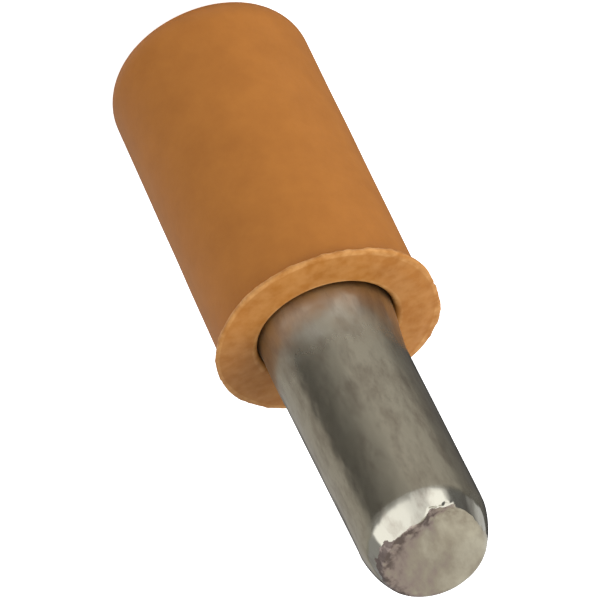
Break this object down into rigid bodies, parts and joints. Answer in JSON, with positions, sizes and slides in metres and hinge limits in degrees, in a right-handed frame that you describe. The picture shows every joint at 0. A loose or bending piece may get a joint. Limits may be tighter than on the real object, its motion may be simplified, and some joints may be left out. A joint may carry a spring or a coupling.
{
  "type": "shelf support pin",
  "caption": "Plug-in shelf support: plated steel pin with a crowned tip, pressed into an orange-brown plastic sleeve with a closed end and a thin collar.",
  "frame": {"origin": "centre of the sleeve's closed end, which the part stands on", "axes": "+Z along the pin, from the sleeve's closed end to the pin's tip; the part is round, so X and Y are free"},
  "size_m": [0.0088, 0.0088, 0.0258],
  "materials": {
    "sleeve_plastic": "moulded, semi-matt orange-brown",
    "pin_steel": "bright plated, tumbled, with a bare sheared end face"
  },
  "bodies": {
    "root": {"sleeve": "sleeve_plastic", "pin": "pin_steel"}
  },
  "joints": []
}
